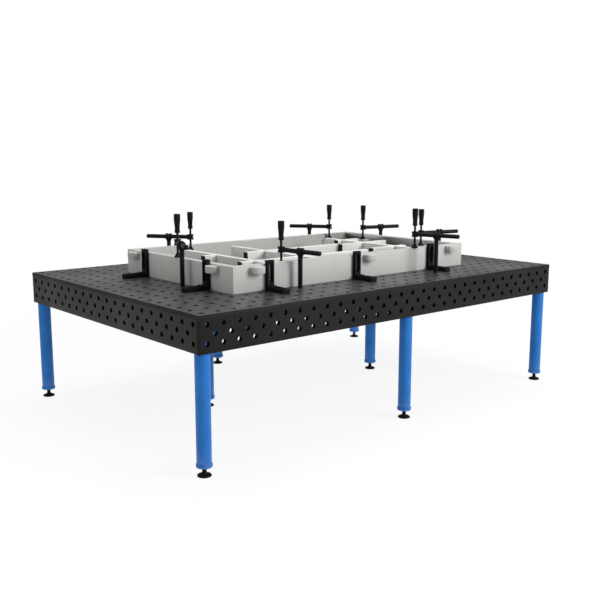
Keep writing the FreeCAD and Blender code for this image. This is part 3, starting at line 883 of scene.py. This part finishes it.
def workpiece():
    softened("work_frame_walls", "work_frame", "table", "work_paint", FRAME_PAINT, 2.2, 3)
    softened("work_inner_bars", "work_bars", "table", "bar_paint", BAR_PAINT, 2.0, 3)
    softened("work_side_lugs", "work_lugs", "table", "lug_paint", LUG_PAINT, 2.5, 3)
    softened("work_end_caps", "work_caps", "table", "cap_black", CAP_BLACK, 1.2, 3)


def touching(value, faces):
    """Whether a bar's end lies on one of the faces, within half a millimetre."""
    return any(abs(value - f) < 0.5 for f in faces)


def work_welds():
    """Upright seams where bars meet bars and walls, and seams under the lugs."""
    low, high = node_box("work_frame")
    bars = solid_boxes("work_bars")
    size = 3.2
    bottom, top = low.z + 3, bars[0][2][1] - 5
    lengthwise = [b for b in bars if b[1][1] - b[1][0] > b[0][1] - b[0][0] + 200]
    crossing = [b for b in bars if b not in lengthwise]
    builder = Builder()
    for (x0, x1), (y0, _), _ in lengthwise:
        for x in (x0, x1):
            builder.add(*bead((x, y0, bottom), (x, y0, top), size))
    faces = [x for (span, _, _) in lengthwise for x in span]
    for (x0, x1), ys, _ in crossing:
        for x in (x0, x1):
            if touching(x, faces):
                for y in ys:
                    builder.add(*bead((x, y, bottom), (x, y, top), size))
    wall = 50.0
    for x in (low.x + wall, high.x - wall):
        for y in (low.y + wall, high.y - wall):
            builder.add(*bead((x, y, bottom), (x, y, high.z - 5), 3.5))
    for (x0, x1), (y0, y1), (z0, _) in solid_boxes("work_lugs"):
        if y1 < low.y + 1 or x1 < low.x + 1:
            ends = ((x0 + 2, y1), (x1 - 2, y1)) if y1 < low.y + 1 else ((x1, y0 + 2), (x1, y1 - 2))
            builder.add(*bead((*ends[0], z0), (*ends[1], z0), 3.0))
    show("work_weld_beads", builder.mesh("work_weld_beads", 60), "table", [], "work_paint", PAINTED_WELD)


# ---------------------------------------------------------------- stage, light and camera

def floor_material():
    """White that takes shadows near the object and fades to plain light further out."""
    material = bpy.data.materials.new("studio_floor")
    material.use_nodes = True
    tree = material.node_tree
    output = tree.nodes["Material Output"]
    surface = tree.nodes["Principled BSDF"]
    surface.inputs["Base Color"].default_value = (0.93, 0.93, 0.93, 1)
    surface.inputs["Roughness"].default_value = 0.9
    glow = tree.nodes.new("ShaderNodeEmission")
    glow.inputs["Color"].default_value = (1, 1, 1, 1)
    place = tree.nodes.new("ShaderNodeTexCoord")
    length = tree.nodes.new("ShaderNodeVectorMath")
    length.operation = "LENGTH"
    share = tree.nodes.new("ShaderNodeMapRange")
    share.inputs["From Min"].default_value = 1.2
    share.inputs["From Max"].default_value = 5.0
    share.inputs["To Min"].default_value = 0.88
    mix = tree.nodes.new("ShaderNodeMixShader")
    tree.links.new(place.outputs["Object"], length.inputs[0])
    tree.links.new(length.outputs["Value"], share.inputs["Value"])
    tree.links.new(share.outputs["Result"], mix.inputs["Fac"])
    tree.links.new(surface.outputs[0], mix.inputs[1])
    tree.links.new(glow.outputs[0], mix.inputs[2])
    tree.links.new(mix.outputs[0], output.inputs["Surface"])
    return material


def floor():
    reach = 60.0
    mesh = bpy.data.meshes.new("studio_floor")
    mesh.from_pydata([(-reach, -reach, 0), (reach, -reach, 0), (reach, reach, 0), (-reach, reach, 0)],
                     [], [(0, 1, 2, 3)])
    mesh.materials.append(floor_material())
    plane = bpy.data.objects.new("studio_floor", mesh)
    plane.location.z = -0.0005
    bpy.context.scene.collection.objects.link(plane)


def sky():
    """White behind the object, and a softer white that lights it."""
    world = bpy.data.worlds.new("studio")
    bpy.context.scene.world = world
    world.use_nodes = True
    tree = world.node_tree
    shown = tree.nodes["Background"]
    shown.inputs["Color"].default_value = (1, 1, 1, 1)
    light = tree.nodes.new("ShaderNodeBackground")
    light.inputs["Color"].default_value = (1.0, 0.99, 0.97, 1)
    light.inputs["Strength"].default_value = 0.42
    path = tree.nodes.new("ShaderNodeLightPath")
    mix = tree.nodes.new("ShaderNodeMixShader")
    tree.links.new(path.outputs["Is Camera Ray"], mix.inputs["Fac"])
    tree.links.new(light.outputs[0], mix.inputs[1])
    tree.links.new(shown.outputs[0], mix.inputs[2])
    tree.links.new(mix.outputs[0], tree.nodes["World Output"].inputs["Surface"])


def softbox(name, place, target, size, power):
    light = bpy.data.lights.new(name, "AREA")
    light.shape, light.size, light.energy = "SQUARE", size, power
    lamp = bpy.data.objects.new(name, light)
    lamp.location = place
    lamp.rotation_mode = "QUATERNION"
    lamp.rotation_quaternion = (Vector(target) - Vector(place)).to_track_quat("-Z", "Y")
    bpy.context.scene.collection.objects.link(lamp)


def lights():
    softbox("key", (3.5, -7.5, 4.0), (0, 0, 0.8), 4.0, 620)
    softbox("top", (0.5, 0.5, 6.0), (0, 0, 0.8), 5.0, 260)
    softbox("side", (-7.0, 1.5, 3.0), (0, 0, 0.8), 3.0, 70)


def camera():
    """Standing off the front left corner, a little above the clamps, looking slightly down."""
    heading, pitch = math.radians(49.68), math.radians(-9.91)
    level = math.cos(pitch)
    look = Vector((level * math.cos(heading), level * math.sin(heading), math.sin(pitch)))
    data = bpy.data.cameras.new("camera")
    data.sensor_width, data.lens = 36.0, 49.88
    data.clip_start, data.clip_end = 0.05, 400.0
    eye = bpy.data.objects.new("camera", data)
    eye.location = (-3.698, -4.357, 1.625)
    eye.rotation_mode = "QUATERNION"
    eye.rotation_quaternion = look.to_track_quat("-Z", "Y")
    bpy.context.scene.collection.objects.link(eye)
    bpy.context.scene.camera = eye


tabletop()
sides()
ribs()
rib_welds()
legs()
feet()
clamps()
stops()
workpiece()
work_welds()
floor()
sky()
lights()
camera()
bpy.context.scene.view_settings.view_transform = "Standard"
